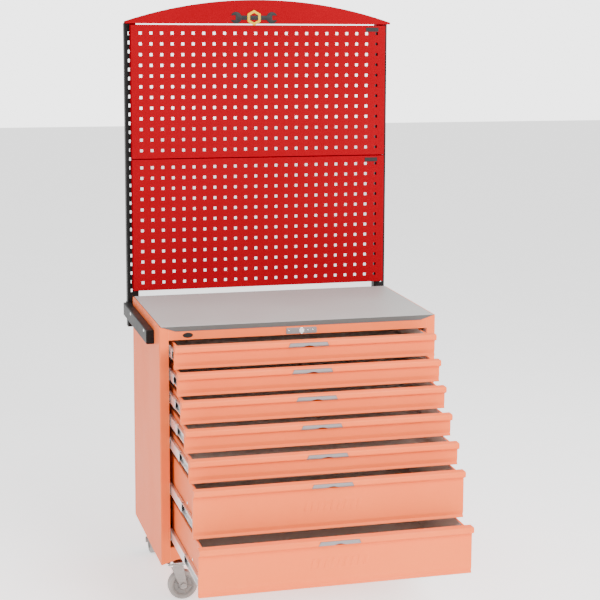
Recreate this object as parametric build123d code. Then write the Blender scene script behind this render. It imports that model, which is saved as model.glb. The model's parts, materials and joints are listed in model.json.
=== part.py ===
from build123d import *
import math
import os

# Millimetres. +X right, -Y towards the user, +Z up; the castors stand on Z = 0.
# Everything is drawn with Y = 0 at the cabinet's front face, then moved so that the
# origin is the middle of the footprint.

# Cabinet
TOP_Z = 951.0             # working height
BODY_W = 956.0
BODY_D = 580.0
BODY_BOTTOM_Z = 136.0     # lowest corner of the side panels
RAIL_BOTTOM_Z = 152.5     # lower edge of the front bottom rail and floor of the cabinet
SKIRT_SLOPE_X = 424.0     # the lower edge rises from the corner to here
SHEET = 1.2
STILE_W = 31.0
CORNER_R = 5.0
RIM_W = 4.5
OPENING_TOP_Z = TOP_Z - 46.0
OPENING_BOTTOM_Z = 195.5

# Worktop
WORKTOP_W = 944.0
WORKTOP_T = 1.5
LIP_H = 17.0
LIP_TAPER = 48.0

# Drawers
DRAWER_COUNT = 7
SHALLOW_COUNT = 5
SHALLOW_PITCH = 78.0
DEEP_PITCH = 159.5
FRONT_GAP = 2.0
FIRST_FRONT_TOP_Z = TOP_Z - 47.0
FRONT_W = 890.0
FRONT_DEPTH = 14.0        # flat face to tray
NOSE_REACH = 20.0
NOSE_H = 25.0
COVE_TOP = 22.0           # the face turns in here, above the front's lower edge
COVE_LOW = 9.0            # deepest line of the cove
COVE_IN = 3.5
LIP_OUT = 3.0
DRAWER_OPEN = [95.0, 147.0, 206.0, 270.0, 343.0, 408.0, 495.0]
TRAY_W = 864.0
TRAY_BACK_Y = 545.0
TRAY_SHEET = 1.0
TRAY_DROP = 8.0           # tray rim below the front's top, tray floor above its bottom
TRAY_RIM_W = 6.0
BACK_WALL_DROP = 16.0     # rear wall below the rim
STRIKE_W = 24.0
STRIKE_TOP_DROP = 6.0     # top of the lock's strike below the rim

# Latch in the middle of each nose
LATCH_TOP_W = 125.0
LATCH_BOTTOM_W = 143.0
LATCH_TOP_DROP = 5.0
LATCH_BOTTOM_DROP = 22.0
LATCH_T = 2.0
LATCH_GAP = 1.0
FINGER_W = 45.0
FINGER_H = 8.0
LATCH_PIN_R = 1.5
LATCH_PIN_Y = 4.0         # pin centre behind the nose's front
LATCH_PIN_DROP = 6.5
LATCH_PIN_END_X = 69.0
LATCH_END_Y = 9.0         # the plate stops here, ahead of the flat face

# Slides
SLIDE_Z = 38.0            # centre above the front's bottom
SLIDE_FRONT_Y = 16.0
SLIDE_BACK_Y = 544.0
SLIDE_SHEET = 1.4
OUTER_RAIL_H = 38.0
MIDDLE_RAIL_H = 33.0
INNER_RAIL_H = 27.0
OUTER_RAIL_X = 445.3      # outer face of each member, from the middle plane
MIDDLE_RAIL_X = 442.9
INNER_RAIL_X = TRAY_W / 2
RAIL_FLANGE = 9.0

# Lock
LOCK_X = 3.0
LOCK_Z = TOP_Z - 33.0
LOCK_PLATE_W = 106.0
LOCK_PLATE_H = 21.0
LOCK_PLATE_T = 2.5
BARREL_HEAD_R = 8.5
BARREL_R = 7.0
FIT = 0.05                # radial running clearance
LOCK_LIFT = 10.0
CAM_ARM = LOCK_LIFT / math.sqrt(2)
CAM_PIN_R = 3.0
LOCK_BAR_T = 3.0
LOCK_BAR_W = 20.0
LOCK_BAR_Y = 560.0
HOOK_Y = 538.0
HOOK_REACH_Z = 8.0
HOOK_CLEARANCE = 4.0      # hook tip above the strike when unlocked

# Back frame
UPRIGHT_IN_X = 447.0
UPRIGHT_OUT_X = 488.0
UPRIGHT_FRONT_Y = 634.0
UPRIGHT_DEPTH = 36.0
UPRIGHT_T = 2.5
UPRIGHT_BOTTOM_Z = TOP_Z - 122.0
UPRIGHT_TOP_Z = TOP_Z + 976.0
SLOT_X = 473.5
SLOT_W = 6.0
SLOT_H = 12.0
SLOT_PITCH = 32.0
SLOT_COUNT = 30
FIRST_SLOT_Z = TOP_Z + 940.0
ARM_OUT_X = 505.0
ARM_FRONT_Y = 105.0
ARM_BACK_Y = 630.0
ARM_TOP_Z = TOP_Z - 30.0
ARM_H = 47.0
ARM_T = 2.5
PLUG_HEAD = 3.0
PLUG_DEPTH = 14.0
PLUG_WALL = 2.0
TONGUE_OUT_X = 490.5
TONGUE_BACK_Y = 668.0
PANEL_W = 941.0
PANEL_H = 476.5
PANEL_FRONT_Y = 600.0
PANEL_BOTTOM_Z = TOP_Z + 15.5
PANEL_GAP = 3.0
PEG_PITCH = 38.0
PEG_HOLE = 10.0
PEG_COLUMNS = 24
PEG_ROWS = 12
HEADER_W = 978.0
HEADER_END_H = 7.0
HEADER_PEAK_H = 86.0
HEADER_DEPTH = 40.0
HEADER_T = 1.5
ARM_SCREW_R = 3.0
UPRIGHT_BOLT_R = 4.0
HEADER_BOLT_R = 3.0
HEADER_BOLT_X = 459.0
HEADER_BOLT_Z = TOP_Z + 960.0

# Castors
WHEEL_R = 50.0
WHEEL_W = 32.0
HUB_R = 37.0
AXLE_R = 6.0
CASTOR_H = 134.0
PLATE_W = 70.0
PLATE_D = 80.0
PLATE_T = 4.0
CASTOR_X = 420.0
FRONT_CASTOR_Y = 44.0
REAR_CASTOR_Y = 536.0
CASTOR_BOLT_R = 4.0
KING_PIN_R = 6.0
RACE_R = 24.0
SWIVEL_R = 27.0
TRAIL = 20.0
BOLT_SPACING_X = 44.0
BOLT_SPACING_Y = 58.0
FORK_T = 3.0
FORK_TOP_Z = 126.0
CROWN_LOW_Z = 116.0
CHANNEL_W = 80.0
CHANNEL_T = 2.5

REAR_Y = UPRIGHT_FRONT_Y + UPRIGHT_DEPTH
FOREMOST_Y = -DRAWER_OPEN[-1] - NOSE_REACH
TO_ROW = Pos(0, -(REAR_Y + FOREMOST_Y) / 2, 0)


def block(x, y, z):
    """A box from three (low, high) pairs."""
    size = [high - low for low, high in (x, y, z)]
    middle = [(high + low) / 2 for low, high in (x, y, z)]
    return Pos(*middle) * Box(*size)


def along_x(outline, low, high):
    """A (y, z) outline pushed from x = low to x = high."""
    plane = Plane(origin=(low, 0, 0), x_dir=(0, 1, 0), z_dir=(1, 0, 0))
    return extrude(plane * outline, high - low)


def along_y(outline, low, high):
    """An (x, z) outline pushed from y = low to y = high."""
    plane = Plane(origin=(0, high, 0), x_dir=(1, 0, 0), z_dir=(0, -1, 0))
    return extrude(plane * outline, high - low)


def polygon(*points):
    return make_face(Polyline(*points, close=True))


def rod(radius, start, length, axis):
    """A cylinder from start along one of the row's axes."""
    plane = Plane(origin=start, z_dir=axis)
    return extrude(plane * Circle(radius), length)


def hexagon(across, start, length, axis):
    plane = Plane(origin=start, z_dir=axis)
    return extrude(plane * RegularPolygon(across / 2, 6, major_radius=False), length)


def mirrored(part):
    """The same part on the other side of the middle plane."""
    return part.mirror(Plane.YZ)


def save(name, *solids):
    pieces = [piece for solid in solids for piece in solid.solids()]
    placed = [TO_ROW * piece for piece in pieces]
    shape = placed[0] if len(placed) == 1 else Compound(children=placed)
    export_step(shape, f"parts/{name}.step")


def front_top_z(number):
    """Top edge of a drawer's front; drawers count from 1 at the top."""
    shallow = min(number - 1, SHALLOW_COUNT)
    deep = max(number - 1 - SHALLOW_COUNT, 0)
    return FIRST_FRONT_TOP_Z - shallow * SHALLOW_PITCH - deep * DEEP_PITCH


def front_height(number):
    pitch = SHALLOW_PITCH if number <= SHALLOW_COUNT else DEEP_PITCH
    return pitch - FRONT_GAP


def front_bottom_z(number):
    return front_top_z(number) - front_height(number)


def rim_z(number):
    return front_top_z(number) - TRAY_DROP


# ---------------------------------------------------------------- cabinet

def side_panel():
    """The right side: wall, front stile, top rim, hem and the stile's return."""
    half = BODY_W / 2
    inner = half - SHEET
    top = TOP_Z - 2
    stile_x = half - STILE_W
    z = (BODY_BOTTOM_Z, top)
    post = rounded_corner(block((stile_x, half), (0, BODY_D), z), half, CORNER_R)
    hollow = block((stile_x - 1, inner), (SHEET, BODY_D + 1), (z[0] - 1, top + 1))
    hollow = rounded_corner(hollow, inner, CORNER_R - SHEET)
    rim = post & block((half - RIM_W, half), (0, BODY_D), (top - SHEET, top))
    hem = block((half - 7, inner), (CORNER_R, BODY_D - SHEET), (z[0], z[0] + SHEET))
    back_of_stile = block((stile_x, stile_x + SHEET), (SHEET, 25), (OPENING_BOTTOM_Z, OPENING_TOP_Z))
    panel = post - hollow + rim + hem + back_of_stile - skirt_cut(stile_x - 1, half + 1)
    for y, z in arm_screw_places():
        panel -= rod(ARM_SCREW_R + 0.2, (inner - 1, y, z), SHEET + 2, (1, 0, 0))
    return panel


def rounded_corner(part, x, radius):
    """Rounds the upright edge at x on the side towards the user."""
    corner = part.edges().filter_by(Axis.Z).sort_by_distance((x, 0, TOP_Z / 2))[0]
    return fillet(corner, radius)


def skirt_cut(low_x, high_x):
    """What is cut off below the sloping lower edge of the front."""
    half = BODY_W / 2
    rise = (RAIL_BOTTOM_Z - BODY_BOTTOM_Z) / (half - SKIRT_SLOPE_X)
    def edge_z(x):
        return BODY_BOTTOM_Z + (half - x) * rise
    points = [(low_x, BODY_BOTTOM_Z - 1), (high_x, BODY_BOTTOM_Z - 1), (high_x, edge_z(high_x)),
              (low_x, edge_z(low_x))]
    return along_y(polygon(*points), -1, SHEET)


def front_top_rail():
    half = BODY_W / 2 - STILE_W
    top = TOP_Z - 2
    face = block((-half, half), (0, SHEET), (OPENING_TOP_Z, top))
    lower = block((-half, half), (0, 7), (OPENING_TOP_Z, OPENING_TOP_Z + SHEET))
    upper = block((-half, half), (0, 30), (top - SHEET, top))
    hole = rod(BARREL_R + FIT, (LOCK_X, -1, LOCK_Z), SHEET + 2, (0, 1, 0))
    return face + lower + upper - hole


def base_pan():
    """Floor of the cabinet, turned up in front as the bottom rail and at the back."""
    stile_x = BODY_W / 2 - STILE_W
    inner = BODY_W / 2 - SHEET
    floor_z = (RAIL_BOTTOM_Z, RAIL_BOTTOM_Z + SHEET)
    floor = block((-inner, inner), (CORNER_R, BODY_D - SHEET), floor_z)
    floor += block((-stile_x, stile_x), (0, CORNER_R), floor_z)
    low = RAIL_BOTTOM_Z - (stile_x - SKIRT_SLOPE_X) * (
        (RAIL_BOTTOM_Z - BODY_BOTTOM_Z) / (BODY_W / 2 - SKIRT_SLOPE_X))
    outline = polygon((-stile_x, low), (-SKIRT_SLOPE_X, RAIL_BOTTOM_Z), (SKIRT_SLOPE_X, RAIL_BOTTOM_Z),
                      (stile_x, low), (stile_x, OPENING_BOTTOM_Z), (-stile_x, OPENING_BOTTOM_Z))
    rail = along_y(outline, 0, SHEET)
    shelf = block((-stile_x, stile_x), (0, 12), (OPENING_BOTTOM_Z - SHEET, OPENING_BOTTOM_Z))
    turned_up = block((-inner, inner), (BODY_D - 2 * SHEET, BODY_D - SHEET),
                      (RAIL_BOTTOM_Z, RAIL_BOTTOM_Z + 25))
    return floor + rail + shelf + turned_up


def back_panel():
    """Rear wall with two brackets that guide the lock bar."""
    inner = BODY_W / 2 - SHEET
    wall = block((-inner, inner), (BODY_D - SHEET, BODY_D), (BODY_BOTTOM_Z, TOP_Z - 2 - SHEET))
    half = LOCK_BAR_W / 2
    for number in (2, 6):
        low = front_bottom_z(number) + 30
        z = (low, low + 15)
        for side in (-1, 1):
            cheek = sorted((side * (half + 0.6), side * (half + 3)))
            wall += block(cheek, (LOCK_BAR_Y - 3, BODY_D), z)
        wall += block((-half - 3, half + 3), (LOCK_BAR_Y - 3, LOCK_BAR_Y - 0.6), z)
    return wall


def base_channels():
    """Two channels under the floor, front to back, that the castors bolt to."""
    half = CHANNEL_W / 2
    z = (CASTOR_H, RAIL_BOTTOM_Z)
    outer = block((CASTOR_X - half, CASTOR_X + half), (8, BODY_D - 8), z)
    inner = block((CASTOR_X - half + CHANNEL_T, CASTOR_X + half - CHANNEL_T), (0, BODY_D),
                  (CASTOR_H + CHANNEL_T, RAIL_BOTTOM_Z + 1))
    channel = outer - inner
    for x, y in castor_bolt_places():
        channel -= rod(CASTOR_BOLT_R, (x, y, CASTOR_H - 1), CHANNEL_T + 2, (0, 0, 1))
    return channel, mirrored(channel)


def top_braces():
    """Two hat-shaped cross braces under the worktop."""
    inner = BODY_W / 2 - SHEET
    half = WORKTOP_W / 2 - WORKTOP_T - 0.5
    z = (TOP_Z - 15, TOP_Z - WORKTOP_T)
    braces = []
    for y in (150, 400):
        brace = block((-half, half), (y, y + 40), z)
        brace -= block((-half - 1, half + 1), (y + 2, y + 38), (z[0] - 1, z[1] - 1.5))
        foot = block((half - 30, inner), (y, y + 40), (z[0], z[0] + 1.5))
        braces.append(brace + foot + mirrored(foot))
    return braces


def worktop():
    """Stainless sheet with turned-down sides and a front lip with tapered ends."""
    half = WORKTOP_W / 2
    sheet = block((-half, half), (-WORKTOP_T, BODY_D), (TOP_Z - WORKTOP_T, TOP_Z))
    lip_points = [(-half, TOP_Z), (half, TOP_Z), (half, TOP_Z - WORKTOP_T),
                  (half - LIP_TAPER, TOP_Z - LIP_H), (-half + LIP_TAPER, TOP_Z - LIP_H),
                  (-half, TOP_Z - WORKTOP_T)]
    lip = along_y(polygon(*lip_points), -WORKTOP_T, 0)
    top = sheet + lip
    front = top.edges().filter_by(Axis.X).sort_by_distance((0, -WORKTOP_T, TOP_Z))[0]
    top = fillet(front, 1.2)
    for side in (-1, 1):
        turned = sorted((side * half, side * (half - WORKTOP_T)))
        top += block(turned, (32, BODY_D - 2), (TOP_Z - 12, TOP_Z - WORKTOP_T))
    return top


def slide_posts():
    """Upright channels that the outer rails are screwed to, front and rear."""
    inner = BODY_W / 2 - SHEET
    z = (RAIL_BOTTOM_Z + SHEET, TOP_Z - 20)
    posts = []
    for y in (32, 500):
        outer = block((OUTER_RAIL_X, inner), (y, y + 34), z)
        hollow = block((OUTER_RAIL_X + 1.5, inner + 1), (y + 1.5, y + 32.5), z)
        posts.append(outer - hollow)
    return posts + [mirrored(post) for post in posts]


# ---------------------------------------------------------------- drawers

def rail(outer_x, height, opening, z):
    """One slide member on the right: a channel open inwards (-1) or outwards (1)."""
    half = height / 2
    web = sorted((outer_x, outer_x + opening * SLIDE_SHEET))
    reach = sorted((outer_x, outer_x + opening * RAIL_FLANGE))
    y = (SLIDE_FRONT_Y, SLIDE_BACK_Y)
    member = block(web, y, (z - half, z + half))
    member += block(reach, y, (z + half - SLIDE_SHEET, z + half))
    member += block(reach, y, (z - half, z - half + SLIDE_SHEET))
    return member


def slide_z(number):
    return front_bottom_z(number) + SLIDE_Z


def outer_rails():
    right = [rail(OUTER_RAIL_X, OUTER_RAIL_H, -1, slide_z(n)) for n in range(1, DRAWER_COUNT + 1)]
    return right + [mirrored(member) for member in right]


def middle_rails(number):
    """Half as far out as the drawer."""
    member = rail(MIDDLE_RAIL_X, MIDDLE_RAIL_H, -1, slide_z(number))
    member = Pos(0, -DRAWER_OPEN[number - 1] / 2, 0) * member
    return member, mirrored(member)


def inner_rails(number):
    member = rail(INNER_RAIL_X, INNER_RAIL_H, 1, slide_z(number))
    member = Pos(0, -DRAWER_OPEN[number - 1], 0) * member
    return member, mirrored(member)


def front_outline(number, inset):
    """The (y, z) outline of a front: nose, flat face and flared lower edge."""
    top = front_top_z(number) - inset
    low = front_bottom_z(number) + inset
    nose_y = -NOSE_REACH + inset
    face_y = inset
    lip_y = face_y - LIP_OUT
    cove_y = face_y + COVE_IN
    points = [(FRONT_DEPTH, top), (nose_y, top), (nose_y, top - NOSE_H + 7 + inset),
              (face_y, top - NOSE_H + 2 * inset), (face_y, low + COVE_TOP - inset), (cove_y, low + COVE_LOW - inset),
              (lip_y, low), (FRONT_DEPTH, low)]
    radii = [0, 5 - inset, 7 - inset, 3 + inset, 8, 3, max(1.5 - inset, 0.3), 0]
    return make_face(FilletPolyline(*points, radius=radii, close=True))


def latch_outline(number, gap):
    """The (x, z) outline of the latch, or of its hole when gap is positive."""
    top = front_top_z(number) - LATCH_TOP_DROP + gap
    low = front_top_z(number) - LATCH_BOTTOM_DROP - gap
    upper = LATCH_TOP_W / 2 + gap
    lower = LATCH_BOTTOM_W / 2 + gap
    return polygon((-lower, low), (lower, low), (upper, top), (-upper, top))


def drawer_front(number):
    """Hollow folded front, open at the back, with the latch's hole in the nose."""
    half = FRONT_W / 2
    skin = along_x(front_outline(number, 0), -half, half)
    hollow = along_x(front_outline(number, SHEET), -half + SHEET, half - SHEET)
    rear = block((-half + SHEET, half - SHEET), (COVE_IN + SHEET * 2, FRONT_DEPTH + 1),
                 (front_bottom_z(number) + SHEET, front_top_z(number) - SHEET))
    hole = along_y(latch_outline(number, LATCH_GAP), -NOSE_REACH - 1, -1)
    shell = skin - hollow - rear - hole
    ear = block((LATCH_PIN_END_X - 3.5, LATCH_PIN_END_X - 0.5), (-NOSE_REACH + SHEET, -NOSE_REACH + 8),
                (front_top_z(number) - 10, front_top_z(number) - SHEET))
    bore = latch_pin(number, LATCH_PIN_R + FIT)
    return shell + (ear - bore) + (mirrored(ear) - bore)


def latch_pin(number, radius):
    """Pin along the top of the latch, or its bore."""
    z = front_top_z(number) - LATCH_PIN_DROP
    return rod(radius, (-LATCH_PIN_END_X, -NOSE_REACH + LATCH_PIN_Y, z), 2 * LATCH_PIN_END_X, (1, 0, 0))


def drawer_tray(number):
    """Open box with rims turned inwards and a low rear wall with the lock's strike."""
    half = TRAY_W / 2
    floor = front_bottom_z(number) + TRAY_DROP
    rim = rim_z(number)
    t = TRAY_SHEET
    tray = block((-half, half), (FRONT_DEPTH, TRAY_BACK_Y), (floor, rim))
    tray -= block((-half + t, half - t), (FRONT_DEPTH + t, TRAY_BACK_Y - t), (floor + t, rim - t))
    lip = TRAY_RIM_W
    tray -= block((-half + lip, half - lip), (FRONT_DEPTH + t, TRAY_BACK_Y - t), (rim - 2 * t, rim + 1))
    low_wall = (rim - BACK_WALL_DROP, rim + 1)
    for side in (-1, 1):
        gap = sorted((side * STRIKE_W / 2, side * (half - lip)))
        tray -= block(gap, (TRAY_BACK_Y - 2 * t, TRAY_BACK_Y + 1), low_wall)
    tray -= block((-STRIKE_W / 2 - 1, STRIKE_W / 2 + 1), (TRAY_BACK_Y - 2 * t, TRAY_BACK_Y + 1),
                  (rim - STRIKE_TOP_DROP, rim + 1))
    return tray


def drawer(number):
    opened = Pos(0, -DRAWER_OPEN[number - 1], 0)
    return opened * drawer_front(number), opened * drawer_tray(number)


def latch(number):
    """Plate that follows the nose, with a finger notch and a tongue behind."""
    half = LATCH_BOTTOM_W / 2
    skin = along_x(front_outline(number, -0.3), -half, half)
    skin -= along_x(front_outline(number, LATCH_T), -half - 1, half + 1)
    shape = along_y(latch_outline(number, 0), -NOSE_REACH - 2, -LATCH_END_Y)
    low = front_top_z(number) - LATCH_BOTTOM_DROP
    sagitta_r = (FINGER_W ** 2 / 4 + FINGER_H ** 2) / (2 * FINGER_H)
    notch = rod(sagitta_r, (0, -NOSE_REACH - 2, low + FINGER_H - sagitta_r), NOSE_REACH, (0, 1, 0))
    plate = (skin & shape) - notch
    top = front_top_z(number) - LATCH_TOP_DROP
    lug = block((40, 50), (-NOSE_REACH + LATCH_T - 0.5, -NOSE_REACH + LATCH_PIN_Y), (top - 4, top - 0.5))
    handle = plate + lug + mirrored(lug) + latch_pin(number, LATCH_PIN_R)
    return Pos(0, -DRAWER_OPEN[number - 1], 0) * handle


# ---------------------------------------------------------------- lock

def lock_plate():
    half = LOCK_PLATE_W / 2
    z = (LOCK_Z - LOCK_PLATE_H / 2, LOCK_Z + LOCK_PLATE_H / 2)
    plate = block((LOCK_X - half, LOCK_X + half), (-LOCK_PLATE_T, 0), z)
    plate = fillet(plate.edges().filter_by(Axis.Y), 4)
    plate = chamfer(plate.faces().sort_by(Axis.Y)[0].edges(), 0.6)
    return plate - rod(BARREL_HEAD_R + FIT, (LOCK_X, -5, LOCK_Z), 10, (0, 1, 0))


def lock_barrel():
    """Head with a key slot, barrel, cam and the pin that lifts the lock bar."""
    head = rod(BARREL_HEAD_R, (LOCK_X, -5, LOCK_Z), 4.7, (0, 1, 0))
    head = chamfer(head.faces().sort_by(Axis.Y)[0].edges(), 0.8)
    barrel = rod(BARREL_R, (LOCK_X, -1, LOCK_Z), 11, (0, 1, 0))
    cam = rod(CAM_ARM + CAM_PIN_R + 1.5, (LOCK_X, 8.5, LOCK_Z), 3, (0, 1, 0))
    offset = CAM_ARM * math.cos(math.radians(45))
    pin = rod(CAM_PIN_R, (LOCK_X + offset, 11, LOCK_Z + offset), 6.5, (0, 1, 0))
    key_slot = block((LOCK_X - 1, LOCK_X + 1), (-6, -2.5), (LOCK_Z - 5, LOCK_Z + 5))
    return head + barrel + cam + pin - key_slot


def lock_bar():
    """Head plate round the cam pin, strap to the back and the bar with its hooks."""
    half = LOCK_BAR_W / 2
    offset = CAM_ARM * math.cos(math.radians(45))
    pin_z = LOCK_Z + offset
    head_z = (pin_z - 8, pin_z + 10)
    head = block((LOCK_X - 6, LOCK_X + 16), (14, 14 + 2.5), head_z)
    slot_x = (LOCK_X + offset - CAM_PIN_R - 0.5, LOCK_X + CAM_ARM + CAM_PIN_R + 0.5)
    head -= block(slot_x, (13, 18), (pin_z - CAM_PIN_R - 0.5, pin_z + CAM_PIN_R + 0.5))
    strap = block((LOCK_X + 13, LOCK_X + 16), (14, LOCK_BAR_Y + LOCK_BAR_T), (pin_z - 4, pin_z + 8))
    bridge = block((-half, LOCK_X + 16), (LOCK_BAR_Y, LOCK_BAR_Y + LOCK_BAR_T), (pin_z - 12, pin_z + 8))
    bottom = rim_z(DRAWER_COUNT) - 60
    bar = block((-half, half), (LOCK_BAR_Y, LOCK_BAR_Y + LOCK_BAR_T), (bottom, pin_z + 8))
    body = head + strap + bridge + bar
    for number in range(1, DRAWER_COUNT + 1):
        tip_z = rim_z(number) - STRIKE_TOP_DROP + HOOK_CLEARANCE
        arm_z = tip_z + HOOK_REACH_Z
        body += block((-8, 8), (HOOK_Y, LOCK_BAR_Y), (arm_z, arm_z + LOCK_BAR_T))
        body += block((-8, 8), (HOOK_Y, HOOK_Y + LOCK_BAR_T), (tip_z, arm_z))
    return body


def front_badge():
    """Blank oval badge at the left of the top rail."""
    place = Plane(origin=(-383, 0, TOP_Z - 31), x_dir=(1, 0, 0), z_dir=(0, -1, 0))
    plate = extrude(place * Ellipse(17, 8.5), 1.5)
    return chamfer(plate.faces().sort_by(Axis.Y)[0].edges(), 0.5)


# ---------------------------------------------------------------- back frame


def arm_screw_places():
    return [(150, TOP_Z - 38), (448, TOP_Z - 38)]


def upright_bolt_places():
    return [(652, TOP_Z - 43), (652, TOP_Z - 64)]


def side_arm():
    """Rectangular tube along the right side, with a tongue beside the upright."""
    half = BODY_W / 2
    z = (ARM_TOP_Z - ARM_H, ARM_TOP_Z)
    tube = block((half, ARM_OUT_X), (ARM_FRONT_Y + PLUG_HEAD, ARM_BACK_Y), z)
    tube = fillet(tube.edges().filter_by(Axis.Y), 3)
    tube -= block((half + ARM_T, ARM_OUT_X - ARM_T), (0, ARM_BACK_Y + 1), (z[0] + ARM_T, z[1] - ARM_T))
    tongue = block((UPRIGHT_OUT_X, TONGUE_OUT_X), (560, TONGUE_BACK_Y), (z[0] + ARM_T, z[1] - ARM_T))
    arm = tube + tongue
    for y, z in arm_screw_places():
        arm -= rod(ARM_SCREW_R + 0.2, (half - 1, y, z), 40, (1, 0, 0))
    for y, z in upright_bolt_places():
        arm -= rod(UPRIGHT_BOLT_R + 0.2, (half, y, z), 20, (1, 0, 0))
    return arm


def arm_plug():
    """Moulded plug in the front end of the arm's tube."""
    x = (BODY_W / 2, ARM_OUT_X)
    z = (ARM_TOP_Z - ARM_H, ARM_TOP_Z)
    head = block(x, (ARM_FRONT_Y, ARM_FRONT_Y + PLUG_HEAD), z)
    head = fillet(head.edges().filter_by(Axis.Y), 3)
    head = fillet(head.faces().sort_by(Axis.Y)[0].edges(), 1)
    inset = ARM_T + FIT
    end_y = ARM_FRONT_Y + PLUG_HEAD + PLUG_DEPTH
    stem = block((x[0] + inset, x[1] - inset), (ARM_FRONT_Y + PLUG_HEAD, end_y), (z[0] + inset, z[1] - inset))
    inset += PLUG_WALL
    stem -= block((x[0] + inset, x[1] - inset), (ARM_FRONT_Y + PLUG_HEAD, end_y + 1), (z[0] + inset, z[1] - inset))
    return head + stem


def upright():
    """Slotted channel on the right, open to the back."""
    y = (UPRIGHT_FRONT_Y, REAR_Y)
    z = (UPRIGHT_BOTTOM_Z, UPRIGHT_TOP_Z)
    post = block((UPRIGHT_IN_X, UPRIGHT_OUT_X), y, z)
    post = fillet(post.edges().filter_by(Axis.Z).group_by(Axis.Y)[0], 4)
    hollow = block((UPRIGHT_IN_X + UPRIGHT_T, UPRIGHT_OUT_X - UPRIGHT_T), (y[0] + UPRIGHT_T, y[1] + 1), z)
    post -= fillet(hollow.edges().filter_by(Axis.Z).group_by(Axis.Y)[0], 1.5)
    slot_z = [FIRST_SLOT_Z - SLOT_PITCH * k for k in range(SLOT_COUNT)]
    slots = Sketch() + [Pos(SLOT_X, place) * Rectangle(SLOT_W, SLOT_H) for place in slot_z]
    post -= along_y(slots, y[0] - 1, y[0] + UPRIGHT_T + 1)
    for bolt_y, bolt_z in upright_bolt_places():
        post -= rod(UPRIGHT_BOLT_R + 0.2, (UPRIGHT_OUT_X - 5, bolt_y, bolt_z), 10, (1, 0, 0))
    post -= rod(HEADER_BOLT_R + 0.2, (HEADER_BOLT_X, y[0] - 1, HEADER_BOLT_Z), 5, (0, 1, 0))
    return post


def pegboard(low_z):
    """Perforated sheet with its edges folded back, and the hooks that hang it."""
    half = PANEL_W / 2
    middle_z = low_z + PANEL_H / 2
    holes = GridLocations(PEG_PITCH, PEG_PITCH, PEG_COLUMNS, PEG_ROWS)
    outline = Rectangle(PANEL_W, PANEL_H) - [place * Rectangle(PEG_HOLE, PEG_HOLE) for place in holes]
    y = (PANEL_FRONT_Y, UPRIGHT_FRONT_Y)
    sheet = along_y(Pos(0, middle_z) * outline, y[0], y[0] + SHEET)
    frame = block((-half, half), y, (low_z, low_z + PANEL_H))
    frame -= block((-half + SHEET, half - SHEET), (y[0] - 1, y[1] + 1),
                   (low_z + SHEET, low_z + PANEL_H - SHEET))
    board = sheet + frame
    hooks = []
    top_slot = [FIRST_SLOT_Z - SLOT_PITCH * k for k in range(SLOT_COUNT)
                if low_z + 20 < FIRST_SLOT_Z - SLOT_PITCH * k < low_z + PANEL_H - 20]
    for slot_z in (top_slot[0], top_slot[-1]):
        plate = block((half, half + 2), (y[0] + 3, y[1] + 9), (slot_z - 4, slot_z + 5))
        plate += block((half, half + 2), (y[1] + 5, y[1] + 9), (slot_z - 12, slot_z - 4))
        hooks += [plate, mirrored(plate)]
    return [board] + hooks


def arched_header():
    """Arched sheet with flanges, and two tabs bolted behind the uprights."""
    half = HEADER_W / 2
    low = UPRIGHT_TOP_Z
    end = low + HEADER_END_H
    peak = low + HEADER_PEAK_H
    def arch(inset):
        arc = ThreePointArc((-half + inset, end - inset), (0, peak - inset), (half - inset, end - inset))
        sides = Polyline((half - inset, end - inset), (half - inset, low + inset),
                         (-half + inset, low + inset), (-half + inset, end - inset))
        return make_face(arc + sides)
    y = (PANEL_FRONT_Y, PANEL_FRONT_Y + HEADER_DEPTH)
    shell = along_y(arch(0), *y) - along_y(arch(HEADER_T), y[0] + HEADER_T, y[1] + 1)
    tab_y = (UPRIGHT_FRONT_Y + UPRIGHT_T, UPRIGHT_FRONT_Y + UPRIGHT_T + 2)
    tab = block((UPRIGHT_IN_X + 4, UPRIGHT_OUT_X - 4), tab_y, (HEADER_BOLT_Z - 12, low + HEADER_T))
    tab -= rod(HEADER_BOLT_R + 0.2, (HEADER_BOLT_X, tab_y[0] - 1, HEADER_BOLT_Z), 5, (0, 1, 0))
    tab -= block((SLOT_X - 4, SLOT_X + 4), (tab_y[0] - 1, tab_y[1] + 1),
                 (FIRST_SLOT_Z - 8, FIRST_SLOT_Z + 8))
    return shell + tab + mirrored(tab)


def panel_labels():
    """Blank plates at the top right of both panels."""
    labels = []
    for low_z in (PANEL_BOTTOM_Z, PANEL_BOTTOM_Z + PANEL_H + PANEL_GAP):
        z = low_z + PANEL_H - 22
        labels.append(block((396, 444), (PANEL_FRONT_Y - 1, PANEL_FRONT_Y), (z, z + 15)))
    return labels


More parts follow.
